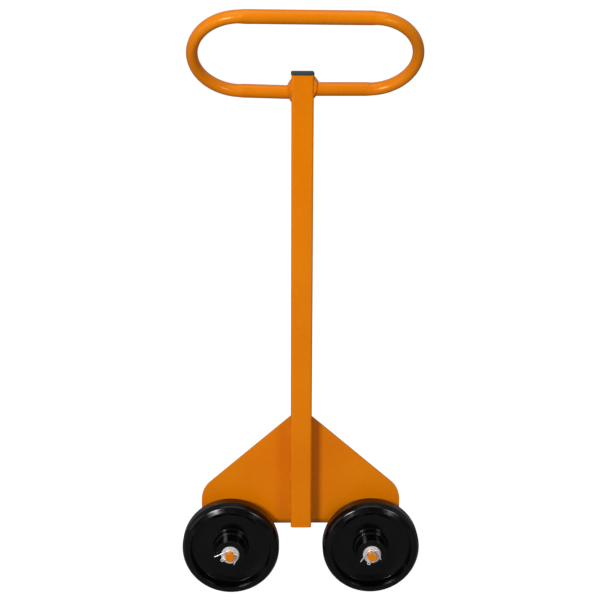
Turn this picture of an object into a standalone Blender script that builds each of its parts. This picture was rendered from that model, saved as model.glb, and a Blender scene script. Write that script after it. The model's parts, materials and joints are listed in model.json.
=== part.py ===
"""Two-wheeled furniture dolly: a square post with a loop handle, a folded toe plate and two wheels."""

import math

import bmesh
import bpy
from mathutils import Matrix, Vector

# The object stands on the floor at z = 0. +X is to its right, -Y is the operator's side, +Y the load's side.
# All sizes are in metres. "Forward" is the distance towards the operator from the toe plate's front face.

FIT_GAP = 0.0003

# wheels and running gear
WHEEL_RADIUS = 0.1016
AXLE_OFFSET = 0.1473
AXLE_RADIUS = 0.009525
AXLE_FRONT = 0.0946
AXLE_BACK = -0.1060
AXLE_CHAMFER = 0.0016
HUB_BACK = 0.0173
HUB_FRONT = 0.0802
HUB_FRONT_RADIUS = 0.0305
HUB_BACK_RADIUS = 0.0290
HUB_ROOT_RADIUS = 0.0335
HUB_CHAMFER = 0.0020
TREAD_FRONT = 0.0520
TREAD_BACK = 0.0240
SHOULDER_RADIUS = 0.0060
RIM_LIP = 0.0620
RIM_BACK = 0.0210
RIM_LIP_RADIUS = 0.0858
LEDGE_FRONT = 0.0430
LEDGE_RADIUS = 0.0800
RIM_INNER_RADIUS = 0.0745
WEB_FRONT = 0.0360
WEB_BACK = 0.0275
WEB_INNER_RADIUS = 0.0370
WEB_OUTER_RADIUS = 0.0700
WEB_BACK_RADIUS = 0.0640
WASHER_RADIUS = 0.01865
WASHER_THICKNESS = 0.0020
BEARING_RADIUS = 0.0175
BEARING_WIDTH = 0.0110
BEARING_SEAT_SLACK = 0.0002
BALL_PITCH_RADIUS = 0.0136
BALL_RADIUS = 0.00205
BALL_COUNT = 7
CAGE_WIDTH = 0.0018
CAGE_THICKNESS = 0.0010
RACE_WALL = 0.0015
SHIELD_THICKNESS = 0.0008
SHIELD_GAP = 0.0004
INNER_RING_RADIUS = 0.0112
SPACER_RADIUS = 0.0124
SPACER_CLEARANCE = 0.0014
SLEEVE_RADIUS = 0.0135
WASHER_CHAMFER = 0.0004
PIN_FORWARD = 0.0868
PIN_WIRE_RADIUS = 0.0011
PIN_LEG_OFFSET = 0.00125
PIN_HOLE_RADIUS = 0.0027
PIN_EYE_DISTANCE = 0.0183
PIN_EYE_RADIUS = 0.0029
PIN_WRAP_RADIUS = 0.0120
PIN_LONG_BEND = 0.0019
PIN_LONG_BEND_X = 0.0096
PIN_SHORT_BEND = 0.0045
PIN_SHORT_BEND_X = 0.0105
PIN_SHORT_TURN = math.radians(145)
PIN_SHORT_TAIL = 0.0190

# toe plate
PLATE_THICKNESS = 0.00635
PLATE_HALF_WIDTH = 0.2100
PLATE_APEX_Z = 0.3956
PLATE_APEX_RADIUS = 0.040
PLATE_SHOULDER_Z = 0.2143
PLATE_SHOULDER_RADIUS = 0.053
TOE_UNDERSIDE_Z = 0.1300
TOE_BEND_RADIUS = 0.019
TOE_DEPTH = 0.110
TOE_CORNER_RADIUS = 0.025

# axle brackets under the toe
BRACKET_HALF_WIDTH = 0.030
BRACKET_SHEET = 0.005
BRACKET_FRONT = -0.020
BRACKET_BACK = -0.098
BRACKET_DROP = 0.0205
BRACKET_CORNER_RADIUS = 0.018

# post
POST_SIDE = 0.0430
POST_WALL = 0.003
POST_CORNER_RADIUS = 0.0045
POST_BOTTOM_Z = 0.1452
POST_LENGTH = 0.9352
POST_TOP_Z = POST_BOTTOM_Z + POST_LENGTH
CAP_SIDE = 0.0450
CAP_HEIGHT = 0.0066
CAP_CHAMFER = 0.0026
CAP_PLUG_DEPTH = 0.018
CAP_PLUG_GAP = 0.0008

# loop handle, drawn in a plane that leans towards the operator
LOOP_LEAN = math.radians(40.0)
LOOP_BAR_Z = 1.0496
LOOP_TUBE_RADIUS = 0.01335
LOOP_TUBE_WALL = 0.0025
LOOP_LEFT_BEND = (-0.1162, 0.0928, 0.0925)
LOOP_RIGHT_BEND = (0.1273, 0.0942, 0.0887)
LOOP_LEFT_END_RISE = -0.0034
LOOP_RIGHT_END_RISE = 0.0052
LOOP_BEND_STEPS = 20

ROUND_STEPS = 24
WHEEL_STEPS = 36

SIDES = {
    "left": {"sign": -1, "pin_turn": math.radians(28), "tip": (0.0330, math.radians(155))},
    "right": {"sign": 1, "pin_turn": math.radians(69), "tip": (0.0280, math.radians(142))},
}

MATERIALS = {
    "orange_paint": ((0.74, 0.21, 0.0), 0.28, 0.0),
    "black_plastic": ((0.012, 0.012, 0.013), 0.32, 0.0),
    "black_wheel": ((0.008, 0.008, 0.008), 0.22, 0.0),
    "zinc_steel": ((0.70, 0.70, 0.69), 0.35, 1.0),
    "bearing_steel": ((0.55, 0.55, 0.57), 0.22, 1.0),
}


def clear_scene():
    for item in list(bpy.data.objects):
        bpy.data.objects.remove(item, do_unlink=True)


def make_collection(name):
    collection = bpy.data.collections.new(name)
    bpy.context.scene.collection.children.link(collection)
    return collection


def make_material(name, finish):
    colour, roughness, metallic = MATERIALS[finish]
    material = bpy.data.materials.new(name)
    material.use_nodes = True
    shader = material.node_tree.nodes["Principled BSDF"]
    shader.inputs["Base Color"].default_value = (*colour, 1.0)
    shader.inputs["Roughness"].default_value = roughness
    shader.inputs["Metallic"].default_value = metallic
    return material


def place(item, parent, collection=None):
    """Links an object and parents it."""
    (collection or PARTS).objects.link(item)
    item.parent = parent
    return item


def paint(item, finish):
    """Gives an object a material of its own."""
    item.data.materials.clear()
    item.data.materials.append(make_material(item.name + "_material", finish))


def smooth(item, angle=35):
    item.data.shade_smooth()
    item.data.set_sharp_from_angle(angle=math.radians(angle))


def hide_cutter(item):
    """Marks a helper shape that only cuts or joins another."""
    item.hide_render = True
    item.display_type = "WIRE"


def arc(centre, radius, start, end, steps):
    """Points along a circular arc, from angle start to angle end."""
    points = []
    for i in range(steps + 1):
        angle = start + (end - start) * i / steps
        points.append((centre[0] + radius * math.cos(angle), centre[1] + radius * math.sin(angle)))
    return points


def rounded(corners, steps=6):
    """A closed outline whose corners (x, y, radius) are replaced with tangent arcs."""
    points = []
    for i, (x, y, radius) in enumerate(corners):
        here = Vector((x, y))
        before = (Vector(corners[i - 1][:2]) - here).normalized()
        after = (Vector(corners[(i + 1) % len(corners)][:2]) - here).normalized()
        if radius == 0:
            points.append((x, y))
            continue
        half = before.angle(after) / 2
        centre = here + (before + after).normalized() * radius / math.sin(half)
        first = here + before * radius / math.tan(half) - centre
        turn = first.angle_signed(here + after * radius / math.tan(half) - centre)
        for k in range(steps + 1):
            # angle_signed is positive clockwise, and a rotation is positive anticlockwise
            points.append(tuple(centre + Matrix.Rotation(-turn * k / steps, 2) @ first))
    return points


def square(side, radius, steps=4):
    h = side / 2
    return rounded([(-h, -h, radius), (h, -h, radius), (h, h, radius), (-h, h, radius)], steps)


def add_spline(curve, points, closed):
    spline = curve.splines.new("POLY")
    spline.points.add(len(points) - 1)
    for target, (x, y) in zip(spline.points, points):
        target.co = (x, y, 0.0, 1.0)
    spline.use_cyclic_u = closed


def curve_to_mesh(item):
    """Replaces a curve object with a welded mesh of the same name and place."""
    bpy.context.view_layer.update()
    evaluated = item.evaluated_get(bpy.context.evaluated_depsgraph_get())
    mesh = bpy.data.meshes.new_from_object(evaluated)
    work = bmesh.new()
    work.from_mesh(mesh)
    bmesh.ops.remove_doubles(work, verts=work.verts, dist=1e-6)
    work.to_mesh(mesh)
    work.free()
    name = item.name
    home = item.users_collection[0]
    parent = item.parent
    world = item.matrix_world.copy()
    bpy.data.objects.remove(item, do_unlink=True)
    solid = bpy.data.objects.new(name, mesh)
    home.objects.link(solid)
    solid.parent = parent
    bpy.context.view_layer.update()
    solid.matrix_world = world
    return solid


def flat_solid(name, outlines, thickness, parent, rotation, location, collection=None):
    """A flat outline, with any inner outlines as holes, thickened equally to both sides of its plane."""
    curve = bpy.data.curves.new(name, "CURVE")
    curve.dimensions = "2D"
    curve.fill_mode = "BOTH"
    curve.extrude = thickness / 2
    for outline in outlines:
        add_spline(curve, outline, True)
    item = place(bpy.data.objects.new(name, curve), parent, collection)
    item.rotation_euler = rotation
    item.location = location
    return curve_to_mesh(item)


def mesh_object(name, work, parent, collection=None):
    """Turns a bmesh into an object and frees it."""
    mesh = bpy.data.meshes.new(name)
    work.to_mesh(mesh)
    work.free()
    return place(bpy.data.objects.new(name, mesh), parent, collection)


def cut(item, cutter, operation="DIFFERENCE"):
    hide_cutter(cutter)
    modifier = item.modifiers.new(cutter.name, "BOOLEAN")
    modifier.operation = operation
    modifier.object = cutter
    modifier.solver = "EXACT"


def turned(name, profile, finish, axis, steps=ROUND_STEPS):
    """A closed profile of (radius, forward) points, turned about the axle line."""
    mesh = bpy.data.meshes.new(name)
    count = len(profile)
    edges = [(i, (i + 1) % count) for i in range(count)]
    mesh.from_pydata([(r, 0.0, forward) for r, forward in profile], edges, [])
    item = place(bpy.data.objects.new(name, mesh), axis)
    paint(item, finish)
    item.rotation_euler = (math.pi / 2, 0, 0)
    screw = item.modifiers.new("turn", "SCREW")
    screw.axis = "Z"
    screw.angle = math.tau
    screw.steps = steps
    screw.render_steps = steps
    screw.use_merge_vertices = True
    screw.merge_threshold = 1e-5
    screw.use_smooth_shade = True
    return item


def ring(name, inner, outer, back, front, finish, axis, chamfer=0.0, steps=ROUND_STEPS):
    """A plain ring, its two outer edges chamfered if asked."""
    if chamfer:
        outside = [
            (outer - chamfer, front),
            (outer, front - chamfer),
            (outer, back + chamfer),
            (outer - chamfer, back),
        ]
    else:
        outside = [(outer, front), (outer, back)]
    return turned(name, outside + [(inner, back), (inner, front)], finish, axis, steps)


def wheel_profile():
    """The wheel's section: sloping front shoulder, deep front dish, long front hub, short back hub."""
    slope = 0.003
    edge = 0.002
    bore = BEARING_RADIUS + FIT_GAP
    waist = SPACER_RADIUS + SPACER_CLEARANCE
    pocket = BEARING_WIDTH + 2 * BEARING_SEAT_SLACK
    # the shoulder slopes from the lip of the dish to the tread, rounded where it meets the tread
    lip = (RIM_LIP_RADIUS, RIM_LIP, 0)
    shoulder = (WHEEL_RADIUS, TREAD_FRONT, SHOULDER_RADIUS)
    points = rounded([lip, shoulder, (WHEEL_RADIUS, TREAD_BACK, 0)], 3)
    # down the tread to the back of the rim, then along the back to the hub
    points.append((WHEEL_RADIUS - slope, RIM_BACK))
    points += [(RIM_INNER_RADIUS + edge, RIM_BACK), (RIM_INNER_RADIUS, RIM_BACK + edge)]
    points += [(WEB_BACK_RADIUS + slope, WEB_BACK - edge), (WEB_BACK_RADIUS, WEB_BACK)]
    points += [(WEB_INNER_RADIUS, WEB_BACK), (HUB_ROOT_RADIUS, WEB_BACK - slope)]
    points += [(HUB_BACK_RADIUS, HUB_BACK + HUB_CHAMFER), (HUB_BACK_RADIUS - HUB_CHAMFER, HUB_BACK)]
    # through the bore, with a seat for a bearing at either end
    points += [(bore, HUB_BACK), (bore, HUB_BACK + pocket), (waist, HUB_BACK + pocket)]
    points += [(waist, HUB_FRONT - pocket), (bore, HUB_FRONT - pocket), (bore, HUB_FRONT)]
    # over the front of the hub, across the web and up the dish to its lip
    points += [(HUB_FRONT_RADIUS - HUB_CHAMFER, HUB_FRONT), (HUB_FRONT_RADIUS, HUB_FRONT - HUB_CHAMFER)]
    points += [(HUB_ROOT_RADIUS, WEB_FRONT + slope), (WEB_INNER_RADIUS, WEB_FRONT)]
    return points + [(WEB_OUTER_RADIUS, WEB_FRONT), (LEDGE_RADIUS, LEDGE_FRONT)]


def make_bearing(side, end, back, axis):
    """Outer ring with its two shields, inner ring on the axle, and the balls in their cage."""
    front = back + BEARING_WIDTH
    shield = SHIELD_THICKNESS
    edge = INNER_RING_RADIUS + SHIELD_GAP
    race = BEARING_RADIUS - RACE_WALL
    profile = [(BEARING_RADIUS, front), (BEARING_RADIUS, back), (edge, back), (edge, back + shield)]
    profile += [(race, back + shield), (race, front - shield), (edge, front - shield), (edge, front)]
    turned(f"bearing_outer_ring_{end}_{side}", profile, "bearing_steel", axis)
    bore = AXLE_RADIUS + FIT_GAP
    ring(f"bearing_inner_ring_{end}_{side}", bore, INNER_RING_RADIUS, back, front, "bearing_steel", axis)
    make_balls(f"bearing_balls_{end}_{side}", (back + front) / 2, axis)


def make_balls(name, forward, axis):
    """The balls of one bearing, joined by the thin cage ring that carries them."""
    back = forward - CAGE_WIDTH / 2
    inner = BALL_PITCH_RADIUS - CAGE_THICKNESS / 2
    outer = BALL_PITCH_RADIUS + CAGE_THICKNESS / 2
    cage = ring(name, inner, outer, back, back + CAGE_WIDTH, "bearing_steel", axis, 0.0, BALL_COUNT * 2)
    balls = bpy.data.collections.new(name + "_balls")
    CUTTERS.children.link(balls)
    for i in range(BALL_COUNT):
        angle = math.tau * (i + 0.5) / BALL_COUNT
        work = bmesh.new()
        bmesh.ops.create_uvsphere(work, u_segments=6, v_segments=4, radius=BALL_RADIUS)
        ball = mesh_object(f"{name}_ball_{i}", work, axis, balls)
        hide_cutter(ball)
        x = BALL_PITCH_RADIUS * math.cos(angle)
        z = BALL_PITCH_RADIUS * math.sin(angle)
        ball.location = (x, -forward, z)
        ball.rotation_euler = (0, -angle, 0)
    join = cage.modifiers.new("balls", "BOOLEAN")
    join.operation = "UNION"
    join.operand_type = "COLLECTION"
    join.collection = balls
    join.solver = "EXACT"


def make_axle(side, turn, axis):
    """Solid rod with chamfered ends and the split pin's cross hole near its front end."""
    length = AXLE_FRONT - AXLE_BACK
    work = cylinder(AXLE_RADIUS, length, ROUND_STEPS)
    rims = [e for e in work.edges if abs(e.verts[0].co.z - e.verts[1].co.z) < 1e-6]
    bmesh.ops.bevel(work, geom=rims, offset=AXLE_CHAMFER, segments=1, affect="EDGES", profile=0.5)
    rod = mesh_object("axle_" + side, work, axis)
    paint(rod, "orange_paint")
    rod.rotation_euler = (math.pi / 2, 0, 0)
    rod.location = (0, -(AXLE_FRONT + AXLE_BACK) / 2, 0)
    smooth(rod)
    drill = round_cutter("pin_hole_" + side, PIN_HOLE_RADIUS, AXLE_RADIUS * 3, axis)
    drill.location = (0, -PIN_FORWARD, 0)
    drill.rotation_euler = (0, math.pi / 2 - turn, 0)
    cut(rod, drill)


def cylinder(radius, length, segments):
    work = bmesh.new()
    size = {"radius1": radius, "radius2": radius, "depth": length}
    bmesh.ops.create_cone(work, cap_ends=True, segments=segments, **size)
    return work


def round_cutter(name, radius, length, parent):
    return mesh_object(name, cylinder(radius, length, ROUND_STEPS), parent, CUTTERS)


def box_cutter(name, low, high, parent):
    work = bmesh.new()
    bmesh.ops.create_cube(work, size=1.0)
    size = Vector(high) - Vector(low)
    bmesh.ops.scale(work, vec=size, verts=work.verts)
    bmesh.ops.translate(work, vec=(Vector(high) + Vector(low)) / 2, verts=work.verts)
    return mesh_object(name, work, parent, CUTTERS)


def pin_path(tip):
    """The split pin's wire, in its own plane: x runs through the axle from the eye, y across it."""
    offset = PIN_LEG_OFFSET
    tip_radius, tip_angle = tip
    # the long leg turns up behind the axle, wraps over it and ends straight
    start = (PIN_LONG_BEND_X, offset + PIN_LONG_BEND)
    leave = tip_angle - math.acos(PIN_WRAP_RADIUS / tip_radius)
    long_leg = arc(start, PIN_LONG_BEND, -math.pi / 2, math.radians(15), 4)
    long_leg += arc((0, 0), PIN_WRAP_RADIUS, math.radians(26), leave, 5)
    long_leg.append((tip_radius * math.cos(tip_angle), tip_radius * math.sin(tip_angle)))
    # the short leg turns down in a wider bend and ends straight
    centre = (PIN_SHORT_BEND_X, -offset - PIN_SHORT_BEND)
    short_leg = arc(centre, PIN_SHORT_BEND, math.pi / 2, math.pi / 2 - PIN_SHORT_TURN, 7)
    x, y = short_leg[-1]
    tail_x = PIN_SHORT_TAIL * math.cos(PIN_SHORT_TURN)
    tail_y = PIN_SHORT_TAIL * math.sin(PIN_SHORT_TURN)
    short_leg.append((x + tail_x, y - tail_y))
    neck = math.asin(offset / PIN_EYE_RADIUS)
    eye = arc((-PIN_EYE_DISTANCE, 0), PIN_EYE_RADIUS, neck, math.tau - neck, 14)
    return long_leg[::-1] + eye + short_leg


def make_split_pin(side, turn, tip, axis):
    name = "cotter_pin_" + side
    curve = bpy.data.curves.new(name, "CURVE")
    curve.dimensions = "3D"
    curve.bevel_depth = PIN_WIRE_RADIUS
    curve.bevel_resolution = 2
    curve.use_fill_caps = True
    add_spline(curve, pin_path(tip), False)
    pin = place(bpy.data.objects.new(name, curve), axis)
    pin.rotation_euler = (math.pi / 2, -turn, 0)
    pin.location = (0, -PIN_FORWARD, 0)
    solid = curve_to_mesh(pin)
    paint(solid, "zinc_steel")
    smooth(solid, 60)


def make_bracket(side, axis):
    """Inverted channel welded under the toe: rounded flanges in front and behind carry the axle."""
    w = BRACKET_HALF_WIDTH
    top = TOE_UNDERSIDE_Z - FIT_GAP - WHEEL_RADIUS
    low = -BRACKET_DROP
    r = BRACKET_CORNER_RADIUS
    outline = rounded([(-w, low, r), (w, low, r), (w, top, 0), (-w, top, 0)])
    middle = -(BRACKET_FRONT + BRACKET_BACK) / 2
    depth = BRACKET_FRONT - BRACKET_BACK
    name = "axle_bracket_" + side
    bracket = flat_solid(name, [outline], depth, axis, (math.pi / 2, 0, 0), (0, middle, 0))
    paint(bracket, "orange_paint")
    inside = depth / 2 - BRACKET_SHEET
    low_corner = (-w * 2, middle - inside, low * 2)
    high_corner = (w * 2, middle + inside, top - BRACKET_SHEET)
    cut(bracket, box_cutter("bracket_space_" + side, low_corner, high_corner, axis))
    hole = round_cutter("bracket_hole_" + side, AXLE_RADIUS + FIT_GAP, depth * 2, axis)
    hole.rotation_euler = (math.pi / 2, 0, 0)
    hole.location = (0, middle, 0)
    cut(bracket, hole)


def make_running_gear(side, facts):
    axis = bpy.data.objects.new("wheel_axis_" + side, None)
    PARTS.objects.link(axis)
    axis.parent = BASE
    axis.location = (facts["sign"] * AXLE_OFFSET, 0, WHEEL_RADIUS)
    bore = AXLE_RADIUS + FIT_GAP
    turned("wheel_" + side, wheel_profile(), "black_wheel", axis, WHEEL_STEPS)
    rear = HUB_BACK + BEARING_SEAT_SLACK
    front = HUB_FRONT - BEARING_SEAT_SLACK - BEARING_WIDTH
    make_bearing(side, "rear", rear, axis)
    make_bearing(side, "front", front, axis)
    spacer_back = rear + BEARING_WIDTH + FIT_GAP
    ring("hub_spacer_" + side, bore, SPACER_RADIUS, spacer_back, front - FIT_GAP, "zinc_steel", axis)
    outer_back = HUB_FRONT + FIT_GAP
    make_washer("outer_washer_" + side, outer_back, axis)
    inner_back = HUB_BACK - FIT_GAP - WASHER_THICKNESS
    make_washer("inner_washer_" + side, inner_back, axis)
    sleeve_back = BRACKET_FRONT + FIT_GAP
    ring("axle_sleeve_" + side, bore, SLEEVE_RADIUS, sleeve_back, inner_back - FIT_GAP, "orange_paint", axis)
    make_axle(side, facts["pin_turn"], axis)
    make_split_pin(side, facts["pin_turn"], facts["tip"], axis)
    make_bracket(side, axis)


def make_washer(name, back, axis):
    bore = AXLE_RADIUS + FIT_GAP
    front = back + WASHER_THICKNESS
    ring(name, bore, WASHER_RADIUS, back, front, "zinc_steel", axis, WASHER_CHAMFER)


def plate_section():
    """The folded sheet seen from the side: x backwards, y up."""
    t = PLATE_THICKNESS
    low = TOE_UNDERSIDE_Z
    middle = (TOE_BEND_RADIUS, low + TOE_BEND_RADIUS)
    outer = arc(middle, TOE_BEND_RADIUS, math.pi, math.pi * 1.5, 8)
    inner = arc(middle, TOE_BEND_RADIUS - t, math.pi * 1.5, math.pi, 8)
    toe_end = [(TOE_DEPTH, low), (TOE_DEPTH, low + t)]
    return [(0, PLATE_APEX_Z)] + outer + toe_end + inner + [(t, PLATE_APEX_Z)]


def plate_front_view():
    """The upright's outline: a triangle with a rounded apex on a straight-sided base."""
    w = PLATE_HALF_WIDTH
    apex = (0, PLATE_APEX_Z, PLATE_APEX_RADIUS)
    right = (w, PLATE_SHOULDER_Z, PLATE_SHOULDER_RADIUS)
    left = (-w, PLATE_SHOULDER_Z, PLATE_SHOULDER_RADIUS)
    return rounded([(-w, 0, 0), (w, 0, 0), right, apex, left], 8)


def plate_plan_view():
    """The toe's outline from above: its two back corners rounded, its front left wider than the sheet."""
    w = PLATE_HALF_WIDTH
    wide = w * 2
    edge = TOE_DEPTH / 2
    r = TOE_CORNER_RADIUS
    front = [(-wide, -edge, 0), (wide, -edge, 0), (wide, edge, 0), (w, edge, 0)]
    back = [(w, TOE_DEPTH, r), (-w, TOE_DEPTH, r), (-w, edge, 0), (-wide, edge, 0)]
    return rounded(front + back)


def make_toe_plate():
    """One folded sheet: a triangular upright with rounded corners, a wide bend and the toe behind it."""
    # the section lies in the YZ plane: its own x runs along +Y, its own y along +Z
    sideways = (math.pi / 2, 0, math.pi / 2)
    forward = (math.pi / 2, 0, 0)
    flat = (0, 0, 0)
    origin = (0, 0, 0)
    deep = TOE_DEPTH * 4
    tall = PLATE_APEX_Z * 3
    plate = flat_solid("toe_plate", [plate_section()], PLATE_HALF_WIDTH * 2.1, BASE, sideways, origin)
    paint(plate, "orange_paint")
    outline = flat_solid("plate_outline", [plate_front_view()], deep, BASE, forward, origin, CUTTERS)
    cut(plate, outline, "INTERSECT")
    corners = flat_solid("toe_corners", [plate_plan_view()], tall, BASE, flat, origin, CUTTERS)
    cut(plate, corners, "INTERSECT")


def make_post():
    middle = -POST_SIDE / 2 - FIT_GAP
    outer = square(POST_SIDE, POST_CORNER_RADIUS)
    inner = square(POST_SIDE - 2 * POST_WALL, POST_CORNER_RADIUS - POST_WALL)
    height = POST_TOP_Z - POST_BOTTOM_Z
    centre = (0, middle, (POST_TOP_Z + POST_BOTTOM_Z) / 2)
    post = flat_solid("post_tube", [outer, inner], height, BASE, (0, 0, 0), centre)
    paint(post, "orange_paint")
    make_post_cap(middle)


def make_post_cap(middle):
    """Plastic end cap: a chamfered square head and a plug that fits inside the tube."""
    work = bmesh.new()
    bmesh.ops.create_cube(work, size=1.0)
    bmesh.ops.scale(work, vec=(CAP_SIDE, CAP_SIDE, CAP_HEIGHT), verts=work.verts)
    uprights = [e for e in work.edges if abs(e.verts[0].co.z - e.verts[1].co.z) > 1e-6]
    bmesh.ops.bevel(work, geom=uprights, offset=POST_CORNER_RADIUS, segments=4, affect="EDGES", profile=0.5)
    top_rim = [e for e in work.edges if all(v.co.z > 0 for v in e.verts)]
    bmesh.ops.bevel(work, geom=top_rim, offset=CAP_CHAMFER, segments=1, affect="EDGES", profile=0.5)
    work.faces.ensure_lookup_table()
    under = min(work.faces, key=lambda face: face.calc_center_median().z)
    margin = (CAP_SIDE - POST_SIDE) / 2 + POST_WALL + CAP_PLUG_GAP
    bmesh.ops.inset_region(work, faces=[under], thickness=margin)
    pulled = bmesh.ops.extrude_face_region(work, geom=[under])["geom"]
    lowered = [v for v in pulled if isinstance(v, bmesh.types.BMVert)]
    bmesh.ops.translate(work, vec=(0, 0, -CAP_PLUG_DEPTH), verts=lowered)
    bmesh.ops.delete(work, geom=[under], context="FACES")
    cap = mesh_object("post_top_cap", work, BASE)
    paint(cap, "black_plastic")
    cap.location = (0, middle, POST_TOP_Z + FIT_GAP + CAP_HEIGHT / 2)


def lower_tangent(bend, end):
    """Angle on the bend's circle where the straight bar to the post leaves it, on the circle's lower side."""
    x, y, radius = bend
    reach = Vector((end[0] - x, end[1] - y))
    towards = math.atan2(reach.y, reach.x)
    half = math.acos(radius / reach.length)
    return min((towards - half, towards + half), key=math.sin)


def loop_path():
    """The handle's centreline in its own plane: x across, y up along the lean from the lower bar."""
    left_x, left_y, left_r = LOOP_LEFT_BEND
    right_x, right_y, right_r = LOOP_RIGHT_BEND
    reach = POST_SIDE / 2 + 2 * FIT_GAP
    left_end = (-reach, LOOP_LEFT_END_RISE)
    right_end = (reach, LOOP_RIGHT_END_RISE)
    span = Vector((right_x - left_x, right_y - left_y))
    top = math.atan2(span.y, span.x) + math.acos((left_r - right_r) / span.length)
    left_start = lower_tangent(LOOP_LEFT_BEND, left_end) % math.tau
    right_stop = (lower_tangent(LOOP_RIGHT_BEND, right_end) + math.pi) % math.tau - math.pi
    left = arc((left_x, left_y), left_r, left_start, top, LOOP_BEND_STEPS)
    right = arc((right_x, right_y), right_r, top, right_stop, LOOP_BEND_STEPS)
    return [left_end] + left + right + [right_end]


def make_loop():
    curve = bpy.data.curves.new("handle_loop", "CURVE")
    curve.dimensions = "3D"
    curve.bevel_depth = LOOP_TUBE_RADIUS
    curve.bevel_resolution = 4
    curve.use_fill_caps = False
    add_spline(curve, loop_path(), False)
    loop = place(bpy.data.objects.new("handle_loop", curve), BASE)
    loop.location = (0, -POST_SIDE / 2 - FIT_GAP, LOOP_BAR_Z)
    loop.rotation_euler = (math.pi / 2 + LOOP_LEAN, 0, 0)
    solid = curve_to_mesh(loop)
    paint(solid, "orange_paint")
    smooth(solid)
    wall = solid.modifiers.new("wall", "SOLIDIFY")
    wall.thickness = LOOP_TUBE_WALL
    wall.offset = -1.0


def loop_front_reach():
    """How far the handle reaches forward of the toe plate's front face."""
    highest = max(y for x, y in loop_path())
    return POST_SIDE / 2 + FIT_GAP + highest * math.sin(LOOP_LEAN) + LOOP_TUBE_RADIUS


clear_scene()
PARTS = make_collection("furniture_dolly")
CUTTERS = make_collection("cutters")
BASE = bpy.data.objects.new("dolly_base", None)
PARTS.objects.link(BASE)
BASE.location = (0, (loop_front_reach() - TOE_DEPTH) / 2, 0)
make_post()
make_loop()
make_toe_plate()
for side_name, side_facts in SIDES.items():
    make_running_gear(side_name, side_facts)
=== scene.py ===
# Furniture dolly: the finished surfaces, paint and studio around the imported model.
# Lengths are in metres. "Forward" is the distance from the toe plate's front face, along -Y.
import json
import math

import bmesh
import bpy
import numpy as np
from mathutils import Euler, Matrix, Vector


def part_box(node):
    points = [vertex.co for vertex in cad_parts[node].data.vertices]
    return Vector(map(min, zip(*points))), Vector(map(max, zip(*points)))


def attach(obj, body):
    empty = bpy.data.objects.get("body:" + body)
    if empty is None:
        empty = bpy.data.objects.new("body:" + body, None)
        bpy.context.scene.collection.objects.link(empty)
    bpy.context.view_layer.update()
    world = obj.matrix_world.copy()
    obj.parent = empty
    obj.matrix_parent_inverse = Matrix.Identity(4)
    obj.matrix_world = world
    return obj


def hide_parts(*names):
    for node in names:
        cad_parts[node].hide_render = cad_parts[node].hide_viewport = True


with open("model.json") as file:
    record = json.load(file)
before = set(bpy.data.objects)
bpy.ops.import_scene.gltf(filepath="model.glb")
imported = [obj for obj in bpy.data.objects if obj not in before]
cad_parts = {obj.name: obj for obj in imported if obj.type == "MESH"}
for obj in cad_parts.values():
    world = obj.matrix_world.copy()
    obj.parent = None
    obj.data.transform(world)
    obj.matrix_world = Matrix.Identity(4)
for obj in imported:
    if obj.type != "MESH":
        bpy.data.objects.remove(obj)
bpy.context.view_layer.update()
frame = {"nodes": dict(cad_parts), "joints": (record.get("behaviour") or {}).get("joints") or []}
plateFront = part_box("toe_plate")[0].y
wheelSides = {"left": -1, "right": 1}
print("frame loaded, plate front at y =", round(plateFront, 4))


# studio: the camera's place is taken from the plate's front face
studio = {
    "cameraPlace": (-0.0441, plateFront - 2.4073, 1.2267),
    "pitchDown": 13.99,
    "yaw": -0.977,
    "roll": 0.22,
    "lens": 73.05,
    "floorSize": 4000.0,
    "floorGlow": 0.95,
    "worldColour": (0.97, 0.98, 1.0),
    "worldBehind": 0.30,  # brightness of the pale wall behind the dolly
    "worldBeside": 0.06,  # and of the darker room where the camera stands
    "worldFade": (-0.85, -0.30),  # directions' Y between which the one turns into the other
    "lampAim": 0.55,
}
lamps = {
    "mainLamp": {"azimuth": -26, "rise": 22, "distance": 4.6, "size": 0.95, "power": 124},
    "sideLamp": {"azimuth": 34, "rise": 21, "distance": 4.8, "size": 1.30, "power": 46},
    "topLamp": {"azimuth": 0, "rise": 74, "distance": 4.0, "size": 3.4, "power": 36},
    "leftPanel": {"azimuth": -64, "rise": 12, "distance": 4.0, "size": 2.2, "power": 17},
}


def makeCamera():
    data = bpy.data.cameras.new("viewCamera")
    data.sensor_width = 36.0
    data.lens = studio["lens"]
    data.clip_end = studio["floorSize"]
    camera = bpy.data.objects.new("viewCamera", data)
    camera.location = studio["cameraPlace"]
    turn = Euler((math.radians(90 - studio["pitchDown"]), 0, math.radians(studio["yaw"]))).to_matrix()
    camera.rotation_euler = (turn @ Matrix.Rotation(math.radians(studio["roll"]), 3, "Z")).to_euler()
    bpy.context.scene.collection.objects.link(camera)
    bpy.context.scene.camera = camera


def makeLamp(name, facts):
    azimuth = math.radians(facts["azimuth"])
    rise = math.radians(facts["rise"])
    level = math.cos(rise)
    towards = Vector((math.sin(azimuth) * level, -math.cos(azimuth) * level, math.sin(rise)))
    aim = Vector((0, plateFront, studio["lampAim"]))
    data = bpy.data.lights.new(name, "AREA")
    data.shape = "SQUARE"
    data.size = facts["size"]
    data.energy = facts["power"]
    lamp = bpy.data.objects.new(name, data)
    lamp.location = aim + towards * facts["distance"]
    lamp.rotation_euler = towards.to_track_quat("Z", "Y").to_euler()
    bpy.context.scene.collection.objects.link(lamp)


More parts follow.
